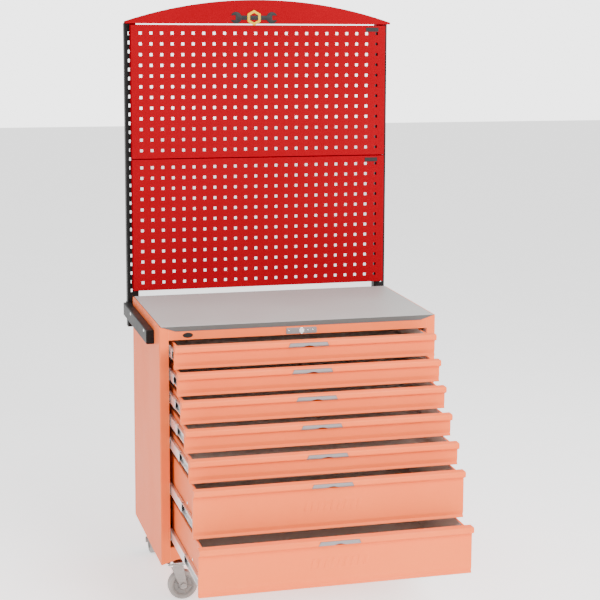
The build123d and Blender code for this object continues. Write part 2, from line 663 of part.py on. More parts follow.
def frame_bolts():
    """Arm screws, upright bolts and header bolts, with their nuts."""
    half = BODY_W / 2
    pieces = []
    for y, z in arm_screw_places():
        screw = rod(ARM_SCREW_R, (half - 8, y, z), ARM_OUT_X + 1 - half + 8, (1, 0, 0))
        screw += rod(5, (ARM_OUT_X, y, z), 2.5, (1, 0, 0))
        pieces.append(screw)
    for y, z in upright_bolt_places():
        bolt = rod(UPRIGHT_BOLT_R, (UPRIGHT_OUT_X - 11, y, z), 15, (1, 0, 0))
        bolt += hexagon(13, (TONGUE_OUT_X, y, z), 5, (1, 0, 0))
        nut = hexagon(13, (UPRIGHT_OUT_X - UPRIGHT_T - 6, y, z), 6, (1, 0, 0))
        pieces += [bolt, nut - rod(UPRIGHT_BOLT_R, (UPRIGHT_OUT_X - 20, y, z), 30, (1, 0, 0))]
    y = UPRIGHT_FRONT_Y
    bolt = rod(HEADER_BOLT_R, (HEADER_BOLT_X, y - 1, HEADER_BOLT_Z), 13, (0, 1, 0))
    bolt += rod(5, (HEADER_BOLT_X, y - 3, HEADER_BOLT_Z), 3, (0, 1, 0))
    nut = hexagon(10, (HEADER_BOLT_X, y + UPRIGHT_T + 2, HEADER_BOLT_Z), 5, (0, 1, 0))
    pieces += [bolt, nut - rod(HEADER_BOLT_R, (HEADER_BOLT_X, y, HEADER_BOLT_Z), 20, (0, 1, 0))]
    return pieces + [mirrored(piece) for piece in pieces]


# ---------------------------------------------------------------- castors


def castor_bolt_places(centres=(FRONT_CASTOR_Y, REAR_CASTOR_Y)):
    """The plate bolts on the right side, front and rear castor."""
    return [(CASTOR_X + side * BOLT_SPACING_X / 2, y + end * BOLT_SPACING_Y / 2)
            for y in centres for side in (-1, 1) for end in (-1, 1)]


def top_plate(y):
    plate = block((CASTOR_X - PLATE_W / 2, CASTOR_X + PLATE_W / 2), (y - PLATE_D / 2, y + PLATE_D / 2),
                  (CASTOR_H - PLATE_T, CASTOR_H))
    plate = fillet(plate.edges().filter_by(Axis.Z), 8)
    for x, bolt_y in castor_bolt_places((y,)):
        plate -= rod(CASTOR_BOLT_R, (x, bolt_y, CASTOR_H - PLATE_T - 1), PLATE_T + 2, (0, 0, 1))
    return plate


def swivel_plate():
    """Top plate with the fixed race and the king pin."""
    y = FRONT_CASTOR_Y
    race_low = FORK_TOP_Z + 0.4
    race = rod(RACE_R, (CASTOR_X, y, race_low), CASTOR_H - PLATE_T - race_low, (0, 0, 1))
    pin = rod(KING_PIN_R, (CASTOR_X, y, CROWN_LOW_Z - 6), 18, (0, 0, 1))
    pin_head = rod(10, (CASTOR_X, y, CROWN_LOW_Z - 6.4), 6, (0, 0, 1))
    return top_plate(y) + race + pin + pin_head


def fork(axle_x, crown_r, centre):
    """Crown and two legs down to the axle; the wheel rolls along X."""
    x, y = centre
    crown_low = CROWN_LOW_Z
    crown = rod(crown_r, (x, y, crown_low), FORK_TOP_Z - crown_low, (0, 0, 1))
    leg = make_hull([Pos(x, crown_low + 4) * Rectangle(40, 8), Pos(axle_x, WHEEL_R) * Circle(12)])
    body = crown
    inner_y = WHEEL_W / 2 + 3
    for side in (-1, 1):
        face = sorted((y + side * inner_y, y + side * (inner_y + FORK_T)))
        body += along_y(leg, *face)
    roof = block((x - 20, x + 20), (y - inner_y - FORK_T, y + inner_y + FORK_T),
                 (crown_low, crown_low + FORK_T))
    body += roof
    bore = rod(AXLE_R, (axle_x, y - 40, WHEEL_R), 80, (0, 1, 0))
    return body - bore


def make_hull(sketches):
    edges = [edge for sketch in sketches for edge in sketch.edges()]
    return make_face(Wire(edges=Wire.make_convex_hull(edges).edges()))


def axle(x, y):
    """Axle bolt along Y with its head and nut."""
    reach = WHEEL_W / 2 + 3 + FORK_T
    shaft = rod(AXLE_R, (x, y - reach, WHEEL_R), 2 * reach, (0, 1, 0))
    head = hexagon(19, (x, y - reach - 6, WHEEL_R), 6, (0, 1, 0))
    nut = hexagon(19, (x, y + reach, WHEEL_R), 6, (0, 1, 0))
    return shaft + head + nut


def wheel(x, y):
    """Hub with its bore, and the tyre, for an axle along Y."""
    low = y - WHEEL_W / 2
    hub = rod(HUB_R, (x, low + 2, WHEEL_R), WHEEL_W - 4, (0, 1, 0))
    boss = rod(15, (x, low, WHEEL_R), WHEEL_W, (0, 1, 0))
    bore = rod(AXLE_R + FIT, (x, low - 1, WHEEL_R), WHEEL_W + 2, (0, 1, 0))
    tyre = rod(WHEEL_R, (x, low, WHEEL_R), WHEEL_W, (0, 1, 0))
    tyre = fillet(tyre.edges().filter_by(GeomType.CIRCLE), 6)
    tyre -= rod(HUB_R, (x, low - 1, WHEEL_R), WHEEL_W + 2, (0, 1, 0))
    recess = rod(HUB_R - 4, (x, low + 2, WHEEL_R), 5, (0, 1, 0))
    recess -= rod(15, (x, low, WHEEL_R), 8, (0, 1, 0))
    far_recess = Pos(0, WHEEL_W - 9, 0) * recess
    return hub + boss - bore - recess - far_recess, tyre


def turned(part, x, y):
    """A castor piece turned so that its wheel rolls front to back."""
    return Pos(x, y, 0) * Rot(0, 0, 90) * Pos(-x, -y, 0) * part


def castor_bolts():
    pieces = []
    for x, y in castor_bolt_places():
        bolt = rod(CASTOR_BOLT_R, (x, y, CASTOR_H - PLATE_T - 1), 16, (0, 0, 1))
        bolt += hexagon(13, (x, y, CASTOR_H - PLATE_T - 5), 5, (0, 0, 1))
        nut = hexagon(13, (x, y, CASTOR_H + CHANNEL_T), 6, (0, 0, 1))
        nut -= rod(CASTOR_BOLT_R, (x, y, CASTOR_H), 20, (0, 0, 1))
        pieces += [bolt, nut]
    return pieces + [mirrored(piece) for piece in pieces]


# ---------------------------------------------------------------- export

def save_cabinet():
    side = side_panel()
    save("right_side_panel", side)
    save("left_side_panel", mirrored(side))
    save("back_panel", back_panel())
    save("base_pan", base_pan())
    save("base_channels", *base_channels())
    save("front_top_rail", front_top_rail())
    save("top_braces", *top_braces())
    save("worktop", worktop())
    save("slide_posts", *slide_posts())
    save("outer_rails", *outer_rails())
    save("lock_plate", lock_plate())
    save("lock_barrel", lock_barrel())
    save("lock_bar", lock_bar())
    save("front_badge", front_badge())


def save_back_frame():
    arm = side_arm()
    plug = arm_plug()
    save("right_side_arm", arm, plug)
    save("left_side_arm", mirrored(arm), mirrored(plug))
    post = upright()
    save("right_upright", post)
    save("left_upright", mirrored(post))
    save("lower_pegboard", *pegboard(PANEL_BOTTOM_Z))
    save("upper_pegboard", *pegboard(PANEL_BOTTOM_Z + PANEL_H + PANEL_GAP))
    save("arched_header", arched_header())
    save("panel_labels", *panel_labels())
    save("frame_bolts", *frame_bolts())


def save_castors():
    plate = swivel_plate()
    save("swivel_plates", plate, mirrored(plate))
    for name, side in (("left", -1), ("right", 1)):
        # Both swivel wheels trail towards +X.
        centre = (side * CASTOR_X, FRONT_CASTOR_Y)
        axle_x = centre[0] + TRAIL
        swivel = fork(axle_x, SWIVEL_R, centre)
        swivel -= rod(KING_PIN_R + FIT, (*centre, 90), 50, (0, 0, 1))
        save(f"front_{name}_fork", swivel, axle(axle_x, FRONT_CASTOR_Y))
        save(f"front_{name}_wheel", *wheel(axle_x, FRONT_CASTOR_Y))
        rear = [turned(piece, side * CASTOR_X, REAR_CASTOR_Y)
                for piece in wheel(side * CASTOR_X, REAR_CASTOR_Y)]
        save(f"rear_{name}_wheel", *rear)
    rigid = fork(CASTOR_X, RACE_R, (CASTOR_X, REAR_CASTOR_Y))
    rigid = turned(rigid, CASTOR_X, REAR_CASTOR_Y) + top_plate(REAR_CASTOR_Y)
    neck_z = FORK_TOP_Z - 3
    rigid += rod(RACE_R, (CASTOR_X, REAR_CASTOR_Y, neck_z), CASTOR_H - PLATE_T - neck_z, (0, 0, 1))
    rigid_axle = turned(axle(CASTOR_X, REAR_CASTOR_Y), CASTOR_X, REAR_CASTOR_Y)
    save("rear_forks", rigid, rigid_axle, mirrored(rigid), mirrored(rigid_axle))
    save("castor_bolts", *castor_bolts())


def save_drawers():
    for number in range(1, DRAWER_COUNT + 1):
        save(f"drawer_{number}", *drawer(number))
        save(f"drawer_{number}_rails", *inner_rails(number))
        save(f"slide_{number}_middle", *middle_rails(number))
        save(f"drawer_{number}_latch", latch(number))


os.makedirs("parts", exist_ok=True)
save_cabinet()
save_back_frame()
save_castors()
save_drawers()
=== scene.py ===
import json
import math

import bmesh
import bpy
from mathutils import Matrix, Vector


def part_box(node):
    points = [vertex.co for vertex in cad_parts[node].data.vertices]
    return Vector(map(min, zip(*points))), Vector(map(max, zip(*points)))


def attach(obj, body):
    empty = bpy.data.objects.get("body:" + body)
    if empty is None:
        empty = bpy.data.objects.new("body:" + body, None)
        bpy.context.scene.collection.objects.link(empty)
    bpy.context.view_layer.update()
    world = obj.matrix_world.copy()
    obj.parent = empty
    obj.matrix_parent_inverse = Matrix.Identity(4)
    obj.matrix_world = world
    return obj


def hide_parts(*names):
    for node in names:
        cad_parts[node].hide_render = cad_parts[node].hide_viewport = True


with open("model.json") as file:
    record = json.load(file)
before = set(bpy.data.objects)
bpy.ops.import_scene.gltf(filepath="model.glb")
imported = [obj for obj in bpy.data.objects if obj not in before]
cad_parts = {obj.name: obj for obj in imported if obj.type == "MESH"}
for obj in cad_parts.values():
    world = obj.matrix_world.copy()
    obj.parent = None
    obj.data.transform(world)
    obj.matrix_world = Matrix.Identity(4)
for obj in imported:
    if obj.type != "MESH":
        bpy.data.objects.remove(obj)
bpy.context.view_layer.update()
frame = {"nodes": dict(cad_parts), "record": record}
nodes = frame["nodes"]

MM = 0.001


# ---------------------------------------------------------------- camera

yaw, pitch, roll = 0.290, 0.156, -0.010
ahead = Vector((math.sin(yaw) * math.cos(pitch), math.cos(yaw) * math.cos(pitch), -math.sin(pitch)))
level = Vector((math.cos(yaw), -math.sin(yaw), 0))
down = ahead.cross(level)
right = math.cos(roll) * level + math.sin(roll) * down
up = math.sin(roll) * level - math.cos(roll) * down
bpy.ops.object.camera_add()
camera = bpy.context.object
camera.name = "camera"
camera.data.sensor_width = 36
camera.data.lens = 99.76
camera.data.shift_x = -0.117
camera.data.shift_y = -0.075
camera.data.clip_end = 60
camera_turn = Matrix((right, up, -ahead)).transposed().to_4x4()
camera.matrix_world = Matrix.Translation((-1.3467, -5.4011, 2.0396)) @ camera_turn
bpy.context.scene.camera = camera


# ---------------------------------------------------------------- shared effects

def effect_group(name, inputs, outputs):
    """A shader node group with its numbered inputs and its outputs."""
    tree = bpy.data.node_groups.new(name, "ShaderNodeTree")
    for label, value in inputs:
        socket = tree.interface.new_socket(label, in_out="INPUT", socket_type="NodeSocketFloat")
        socket.default_value = value
    for label, kind in outputs:
        tree.interface.new_socket(label, in_out="OUTPUT", socket_type=kind)
    source = tree.nodes.new("NodeGroupInput")
    sink = tree.nodes.new("NodeGroupOutput")
    return tree, source, sink


def maths(tree, operation, first, second=None, clamp=False):
    node = tree.nodes.new("ShaderNodeMath")
    node.operation = operation
    node.use_clamp = clamp
    for socket, value in zip(node.inputs, (first, second)):
        if value is None:
            continue
        if isinstance(value, (int, float)):
            socket.default_value = value
        else:
            tree.links.new(value, socket)
    return node.outputs[0]


def noise(tree, vector, scale, detail=3.0, roughness=0.5):
    node = tree.nodes.new("ShaderNodeTexNoise")
    node.inputs["Detail"].default_value = detail
    node.inputs["Roughness"].default_value = roughness
    tree.links.new(vector, node.inputs["Vector"])
    if isinstance(scale, (int, float)):
        node.inputs["Scale"].default_value = scale
    else:
        tree.links.new(scale, node.inputs["Scale"])
    return node.outputs["Fac"]


def spread(tree, value, low, high):
    """The part of a noise between low and high, stretched to 0 and 1."""
    node = tree.nodes.new("ShaderNodeMapRange")
    node.inputs["From Min"].default_value = low
    node.inputs["From Max"].default_value = high
    tree.links.new(value, node.inputs["Value"])
    return node.outputs["Result"]


def object_place(tree):
    return tree.nodes.new("ShaderNodeTexCoord").outputs["Object"]


# A bevel normal rounds the shading of edges; the Edge output masks corners for a painted highlight.
def make_edge_round_and_highlight():
    tree, source, sink = effect_group("edge rounding and painted highlight", [("Radius", 0.001)],
                                      [("Edge", "NodeSocketFloat"), ("Normal", "NodeSocketVector")])
    rounding = tree.nodes.new("ShaderNodeBevel")
    rounding.samples = 4
    tree.links.new(source.outputs["Radius"], rounding.inputs["Radius"])
    shape = tree.nodes.new("ShaderNodeNewGeometry")
    dot = tree.nodes.new("ShaderNodeVectorMath")
    dot.operation = "DOT_PRODUCT"
    tree.links.new(rounding.outputs["Normal"], dot.inputs[0])
    tree.links.new(shape.outputs["Normal"], dot.inputs[1])
    turned = maths(tree, "SUBTRACT", 1.0, dot.outputs["Value"], clamp=True)
    tree.links.new(maths(tree, "MULTIPLY", turned, 5.0, clamp=True), sink.inputs["Edge"])
    tree.links.new(rounding.outputs["Normal"], sink.inputs["Normal"])
    return tree


def make_orange_peel():
    tree, source, sink = effect_group("orange peel", [("Scale", 500.0), ("Ripple", 1.0)],
                                      [("Height", "NodeSocketFloat"), ("Tone", "NodeSocketFloat")])
    place = object_place(tree)
    ripple = noise(tree, place, source.outputs["Scale"], 2.0)
    tree.links.new(maths(tree, "MULTIPLY", ripple, source.outputs["Ripple"]), sink.inputs["Height"])
    wide = spread(tree, noise(tree, place, 3.0, 4.0), 0.35, 0.65)
    fine = spread(tree, noise(tree, place, 40.0, 5.0, 0.65), 0.3, 0.7)
    both = maths(tree, "ADD", maths(tree, "MULTIPLY", wide, 0.65), maths(tree, "MULTIPLY", fine, 0.35))
    tree.links.new(both, sink.inputs["Tone"])
    return tree


def make_brushing():
    tree, source, sink = effect_group("brushing", [("Across", 900.0), ("Along", 6.0)],
                                      [("Height", "NodeSocketFloat"), ("Tone", "NodeSocketFloat")])
    split = tree.nodes.new("ShaderNodeSeparateXYZ")
    tree.links.new(object_place(tree), split.inputs[0])
    join = tree.nodes.new("ShaderNodeCombineXYZ")
    tree.links.new(maths(tree, "MULTIPLY", split.outputs["X"], source.outputs["Along"]), join.inputs["X"])
    tree.links.new(maths(tree, "MULTIPLY", split.outputs["Y"], source.outputs["Across"]), join.inputs["Y"])
    tree.links.new(maths(tree, "MULTIPLY", split.outputs["Z"], source.outputs["Across"]), join.inputs["Z"])
    lines = noise(tree, join.outputs[0], 1.0, 4.0, 0.6)
    tree.links.new(lines, sink.inputs["Height"])
    tree.links.new(spread(tree, lines, 0.3, 0.7), sink.inputs["Tone"])
    return tree


def make_dust():
    tree, source, sink = effect_group("dust", [("Amount", 0.3)], [("Mask", "NodeSocketFloat")])
    shape = tree.nodes.new("ShaderNodeNewGeometry")
    split = tree.nodes.new("ShaderNodeSeparateXYZ")
    tree.links.new(shape.outputs["Normal"], split.inputs[0])
    facing_up = spread(tree, split.outputs["Z"], 0.5, 1.0)
    patches = spread(tree, noise(tree, object_place(tree), 9.0, 6.0, 0.6), 0.4, 0.75)
    mask = maths(tree, "MULTIPLY", maths(tree, "MULTIPLY", facing_up, patches), source.outputs["Amount"])
    tree.links.new(mask, sink.inputs["Mask"])
    return tree


def make_inside():
    """Masks what lies behind a front, between two sides and below a rim, such as the inside of a tray."""
    tree, source, sink = effect_group("inside", [("Front Y", 0.0), ("Half Width", 0.43), ("Rim Z", 1.0)],
                                      [("Mask", "NodeSocketFloat")])
    split = tree.nodes.new("ShaderNodeSeparateXYZ")
    tree.links.new(object_place(tree), split.inputs[0])
    behind = maths(tree, "GREATER_THAN", split.outputs["Y"], source.outputs["Front Y"])
    between = maths(tree, "LESS_THAN", maths(tree, "ABSOLUTE", split.outputs["X"]), source.outputs["Half Width"])
    below = maths(tree, "LESS_THAN", split.outputs["Z"], source.outputs["Rim Z"])
    tree.links.new(maths(tree, "MULTIPLY", maths(tree, "MULTIPLY", behind, between), below), sink.inputs["Mask"])
    return tree


# Masks faces turned to the front, for a painted dark reflection.
def make_front_reflection_mask():
    tree, source, sink = effect_group("front painted reflection", [("Amount", 1.0)], [("Mask", "NodeSocketFloat")])
    shape = tree.nodes.new("ShaderNodeNewGeometry")
    split = tree.nodes.new("ShaderNodeSeparateXYZ")
    tree.links.new(shape.outputs["Normal"], split.inputs[0])
    turned = maths(tree, "MULTIPLY", split.outputs["Y"], -1.0)
    facing = spread(tree, turned, 0.4, 0.9)
    tree.links.new(maths(tree, "MULTIPLY", facing, source.outputs["Amount"]), sink.inputs["Mask"])
    return tree


inside = make_inside()
front_reflection_mask = make_front_reflection_mask()
edge_round_and_highlight = make_edge_round_and_highlight()
orange_peel = make_orange_peel()
brushing = make_brushing()
dust = make_dust()


# ---------------------------------------------------------------- finishes

class Finish:
    """A material under construction, with its Principled shader and small wiring helpers."""

    def __init__(self, name, roughness, metallic=0.0, coat=0.0, coat_roughness=0.1, specular=0.5):
        self.material = bpy.data.materials.new(name)
        self.material.use_nodes = True
        self.tree = self.material.node_tree
        self.shader = self.tree.nodes["Principled BSDF"]
        self.shader.inputs["Roughness"].default_value = roughness
        self.shader.inputs["Metallic"].default_value = metallic
        self.shader.inputs["Coat Weight"].default_value = coat
        self.shader.inputs["Coat Roughness"].default_value = coat_roughness
        self.shader.inputs["Specular IOR Level"].default_value = specular

    def group(self, tree, **values):
        node = self.tree.nodes.new("ShaderNodeGroup")
        node.node_tree = tree
        for label, value in values.items():
            node.inputs[label].default_value = value
        return node

    def mix(self, amount, first, second):
        node = self.tree.nodes.new("ShaderNodeMix")
        node.data_type = "RGBA"
        self.tree.links.new(amount, node.inputs["Factor"])
        for socket, value in ((node.inputs[6], first), (node.inputs[7], second)):
            if isinstance(value, tuple):
                socket.default_value = (*value, 1.0)
            else:
                self.tree.links.new(value, socket)
        return node.outputs[2]

    def scale(self, amount, low, high):
        node = self.tree.nodes.new("ShaderNodeMapRange")
        node.inputs["To Min"].default_value = low
        node.inputs["To Max"].default_value = high
        self.tree.links.new(amount, node.inputs["Value"])
        return node.outputs["Result"]

    def feed(self, value, socket):
        self.tree.links.new(value, self.shader.inputs[socket])

    def bump(self, height, distance, strength, under=None):
        node = self.tree.nodes.new("ShaderNodeBump")
        node.inputs["Distance"].default_value = distance
        node.inputs["Strength"].default_value = strength
        self.tree.links.new(height, node.inputs["Height"])
        if under is not None:
            self.tree.links.new(under, node.inputs["Normal"])
        self.feed(node.outputs["Normal"], "Normal")


def paint(name, base, deep, edge, roughness, peel=0.2, coat=0.02, dusty=0.05, radius=0.0012,
          specular=0.04, within=None):
    """Powder coat: slow drift in tone, orange peel, paler corners as a painted highlight and a little dust.
    within is (front Y, half width, rim Z) of a part whose inside is painted paler, as painted light that lifts the
    shade inside it."""
    finish = Finish(name, roughness, coat=coat, coat_roughness=0.12, specular=specular)
    peel_node = finish.group(orange_peel, Scale=420.0, Ripple=1.0)
    edge_node = finish.group(edge_round_and_highlight, Radius=radius)
    dust_node = finish.group(dust, Amount=dusty)
    colour = finish.mix(peel_node.outputs["Tone"], deep, base)
    # Painted highlight: a paler colour along corners.
    colour = finish.mix(edge_node.outputs["Edge"], colour, edge)
    colour = finish.mix(dust_node.outputs["Mask"], colour, (0.75, 0.70, 0.66))
    # Painted light: the inside of the part is coloured paler to lift the shade that falls there.
    if within:
        inside_node = finish.group(inside, **{"Front Y": within[0], "Half Width": within[1], "Rim Z": within[2]})
        colour = finish.mix(inside_node.outputs["Mask"], colour, INSIDE_PAINTED_LIGHT)
    finish.feed(colour, "Base Color")
    finish.feed(finish.scale(peel_node.outputs["Tone"], roughness + 0.05, roughness - 0.04), "Roughness")
    finish.bump(peel_node.outputs["Height"], 0.0006, peel, edge_node.outputs["Normal"])
    return finish.material


def metal(name, base, deep, roughness, across=900.0, along=6.0, grain=0.3, radius=0.0006, metallic=1.0, front=None):
    """Bare or plated metal with grain along its length and brighter corners as a painted highlight; front is a
    painted dark reflection on its front-facing faces.
    """
    finish = Finish(name, roughness, metallic=metallic)
    grain_node = finish.group(brushing, Across=across, Along=along)
    edge_node = finish.group(edge_round_and_highlight, Radius=radius)
    peel_node = finish.group(orange_peel, Scale=60.0, Ripple=1.0)
    colour = finish.mix(grain_node.outputs["Tone"], deep, base)
    # Painted highlight: a brighter tone along corners.
    highlight_tone = tuple(min(1.0, channel * 1.15) for channel in base)
    colour = finish.mix(edge_node.outputs["Edge"], colour, highlight_tone)
    # Painted reflection: front-facing faces take a darker tone.
    if front:
        colour = finish.mix(finish.group(front_reflection_mask, Amount=1.0).outputs["Mask"], colour, front)
    finish.feed(colour, "Base Color")
    finish.feed(finish.scale(peel_node.outputs["Tone"], roughness - 0.05, roughness + 0.08), "Roughness")
    finish.bump(grain_node.outputs["Height"], 0.0002, grain, edge_node.outputs["Normal"])
    return finish.material


def moulded(name, base, deep, roughness, texture=0.25, grain=900.0, radius=0.0006, specular=0.5):
    """Moulded plastic or rubber with a fine sparked texture and scuffed tone."""
    finish = Finish(name, roughness, specular=specular)
    peel_node = finish.group(orange_peel, Scale=grain, Ripple=1.0)
    edge_node = finish.group(edge_round_and_highlight, Radius=radius)
    dust_node = finish.group(dust, Amount=0.2)
    colour = finish.mix(peel_node.outputs["Tone"], deep, base)
    colour = finish.mix(dust_node.outputs["Mask"], colour, (0.55, 0.53, 0.5))
    finish.feed(colour, "Base Color")
    finish.feed(finish.scale(peel_node.outputs["Tone"], roughness - 0.06, roughness + 0.08), "Roughness")
    finish.bump(peel_node.outputs["Height"], 0.0004, texture, edge_node.outputs["Normal"])
    return finish.material


# Painted light: a pale grey-brown for the insides of trays and cabinet, lighter than the salmon, to lift the shade
# inside.
INSIDE_PAINTED_LIGHT = (0.80, 0.69, 0.64)
# Base, deep tone, paler colour for the painted highlight on edges, and roughness.
SALMON = ((0.90, 0.172, 0.046), (0.87, 0.152, 0.038), (0.96, 0.30, 0.13), 0.42)
FRONT_Y = -0.0775
salmon_coat = paint("salmon powder coat", *SALMON)
cabinet_coat_lit_inside = paint("salmon cabinet coat with painted inside light", *SALMON, within=(FRONT_Y + 0.006, 0.4774, 0.945))
red_coat = paint("red powder coat", (0.245, 0.0008, 0.0062), (0.22, 0.0006, 0.0052), (0.28, 0.002, 0.007), 0.6,
                 coat=0.0, dusty=0.0, radius=0.0004, specular=0.0)
black_coat = paint("black powder coat", (0.012, 0.0115, 0.0115), (0.008, 0.008, 0.008), (0.05, 0.05, 0.05), 0.42,
                   coat=0.0, dusty=0.03, radius=0.0008, specular=0.10)
# The front lip of the brushed stainless top gets a painted dark reflection.
stainless = metal("brushed stainless", (0.49, 0.49, 0.475), (0.42, 0.42, 0.405), 0.48, across=1100.0, along=5.0,
                  grain=0.22, metallic=0.4, front=(0.085, 0.082, 0.078))
zinc = metal("bright zinc", (0.90, 0.89, 0.89), (0.80, 0.79, 0.79), 0.28, across=500.0, along=30.0, grain=0.12,
             metallic=0.8)
castor_zinc = metal("castor zinc", (0.34, 0.325, 0.31), (0.26, 0.25, 0.24), 0.42, across=300.0, along=60.0,
                    grain=0.15, metallic=0.45)
satin_aluminium = metal("satin aluminium", (0.26, 0.235, 0.235), (0.20, 0.18, 0.18), 0.42, across=900.0, along=8.0,
                        grain=0.2, metallic=0.3)
chrome = metal("chrome trim", (0.90, 0.90, 0.90), (0.84, 0.84, 0.85), 0.1, grain=0.03)
black_steel = metal("blacked steel", (0.05, 0.05, 0.05), (0.03, 0.03, 0.03), 0.4, grain=0.1)
cage_plastic = moulded("ball cage plastic", (0.035, 0.03, 0.03), (0.02, 0.018, 0.018), 0.35)
tread_rubber = moulded("grey tread", (0.36, 0.335, 0.315), (0.30, 0.28, 0.265), 0.62, texture=0.4,
                       grain=500.0, radius=0.0012)
hub_plastic = moulded("grey hub", (0.27, 0.255, 0.24), (0.22, 0.205, 0.195), 0.45, radius=0.0008)
lock_white = moulded("lock face", (0.86, 0.85, 0.84), (0.78, 0.77, 0.76), 0.3, texture=0.05)
label_print = moulded("label plate", (0.020, 0.019, 0.019), (0.014, 0.013, 0.013), 0.5,
                      texture=0.08, specular=0.12)
badge_yellow = moulded("badge yellow", (0.62, 0.38, 0.003), (0.55, 0.33, 0.002), 0.45, texture=0.08,
                       specular=0.1)

SLOT_FINISH = {
    "cabinet_paint": salmon_coat, "panel_paint": red_coat, "black_paint": black_coat, "stainless": stainless,
    "zinc_steel": zinc, "black_steel": black_steel, "latch_metal": satin_aluminium, "lock_face": lock_white,
    "black_plastic": label_print, "wheel_rubber": tread_rubber,
}
for part in frame["record"]["subparts"]:
    node = nodes[part["node"]]
    node.data.materials.clear()
    node.data.materials.append(SLOT_FINISH[part["material_slot"]])
# The sides and top rail take the coat whose inside is painted paler, as painted light.
for name in ("left_side_panel", "right_side_panel", "front_top_rail"):
    nodes[name].data.materials[0] = cabinet_coat_lit_inside
for number in range(1, 8):
    face_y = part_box(f"drawer_{number}_latch")[0][1] + 0.0203
    rim_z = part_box(f"drawer_{number}_latch")[1][2] - 0.003
    # Each drawer's tray is painted paler inside, as painted light lifting its shade.
    nodes[f"drawer_{number}"].data.materials[0] = paint(
        f"salmon drawer coat {number}", *SALMON, within=(face_y + 0.0145, 0.4316, rim_z - 0.0018))
for name in ("swivel_plates", "rear_forks", "front_left_fork", "front_right_fork"):
    nodes[name].data.materials[0] = castor_zinc


# ---------------------------------------------------------------- modelling helpers

def deselect():
    bpy.ops.object.select_all(action="DESELECT")


def start_editing(piece):
    """Edit mode on one piece with nothing selected; returns its bmesh."""
    deselect()
    bpy.context.view_layer.objects.active = piece
    piece.select_set(True)
    bpy.ops.object.mode_set(mode="EDIT")
    bpy.ops.mesh.select_mode(type="FACE")
    bpy.ops.mesh.select_all(action="DESELECT")
    return bmesh.from_edit_mesh(piece.data)


def stop_editing():
    bpy.ops.object.mode_set(mode="OBJECT")


def pick_faces(piece, test):
    """Selects exactly the faces whose middle and normal pass the test."""
    mesh = bmesh.from_edit_mesh(piece.data)
    for face in mesh.faces:
        face.select_set(bool(test(face.calc_center_median(), face.normal)))
    mesh.select_flush_mode()
    bmesh.update_edit_mesh(piece.data)


def pick_edges(piece, test):
    bpy.ops.mesh.select_mode(type="EDGE")
    mesh = bmesh.from_edit_mesh(piece.data)
    for edge in mesh.edges:
        edge.select_set(bool(test(edge.verts[0].co, edge.verts[1].co)))
    bmesh.update_edit_mesh(piece.data)


def settle(piece):
    """Places the mesh where the object stands, so that the object itself is at the origin."""
    deselect()
    bpy.context.view_layer.objects.active = piece
    piece.select_set(True)
    bpy.ops.object.transform_apply(location=True, rotation=True, scale=True)


def soften(piece, width, segments=2, angle=35):
    """A bevel on the corners, applied, then smooth shading up to 40 degrees."""
    modifier = piece.modifiers.new("soft corners", "BEVEL")
    modifier.width = width
    modifier.segments = segments
    modifier.limit_method = "ANGLE"
    modifier.angle_limit = math.radians(angle)
    deselect()
    bpy.context.view_layer.objects.active = piece
    piece.select_set(True)
    bpy.ops.object.modifier_apply(modifier=modifier.name)
    bpy.ops.object.shade_smooth_by_angle(angle=math.radians(40))


def bar(name, low, high):
    """A cube primitive stretched between two corners, given in millimetres."""
    deselect()
    middle = [(a + b) / 2 * MM for a, b in zip(low, high)]
    size = [(b - a) * MM for a, b in zip(low, high)]
    bpy.ops.mesh.primitive_cube_add(size=1, location=middle, scale=size)
    piece = bpy.context.object
    piece.name = name
    settle(piece)
    return piece


def round_bar(name, radius, depth, centre, facing="Y", sides=48):
    """A cylinder primitive with its axis along X, Y or Z, in millimetres."""
    deselect()
    turn = {"X": (0, math.pi / 2, 0), "Y": (math.pi / 2, 0, 0), "Z": (0, 0, 0)}[facing]
    bpy.ops.mesh.primitive_cylinder_add(vertices=sides, radius=radius * MM, depth=depth * MM,
                                        location=[c * MM for c in centre], rotation=turn)
    piece = bpy.context.object
    piece.name = name
    settle(piece)
    return piece


def copy_of(piece, name, matrix):
    """A copy with its own mesh, moved by the matrix in its mesh."""
    twin = piece.copy()
    twin.data = piece.data.copy()
    twin.name = name
    bpy.context.scene.collection.objects.link(twin)
    twin.data.transform(matrix)
    if matrix.determinant() < 0:
        start_editing(twin)
        bpy.ops.mesh.select_all(action="SELECT")
        bpy.ops.mesh.normals_make_consistent(inside=False)
        stop_editing()
    return twin


def joined(name, pieces):
    deselect()
    for piece in pieces:
        piece.select_set(True)
    bpy.context.view_layer.objects.active = pieces[0]
    bpy.ops.object.join()
    pieces[0].name = name
    pieces[0].data.name = name
    return pieces[0]


def shift(x=0.0, y=0.0, z=0.0):
    return Matrix.Translation((x * MM, y * MM, z * MM))


MIRROR_X = Matrix.Diagonal((-1, 1, 1, 1))


def hand_over(piece, body, slot, finish, *stands_for):
    """Gives a finished piece its finish, its body and the nodes that it stands for."""
    piece.data.materials.clear()
    piece.data.materials.append(finish)
    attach(piece, body)
    if stands_for:
        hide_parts(*stands_for)


def node_box(name):
    low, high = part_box(name)
    return [c / MM for c in low], [c / MM for c in high]


# ---------------------------------------------------------------- castor wheels

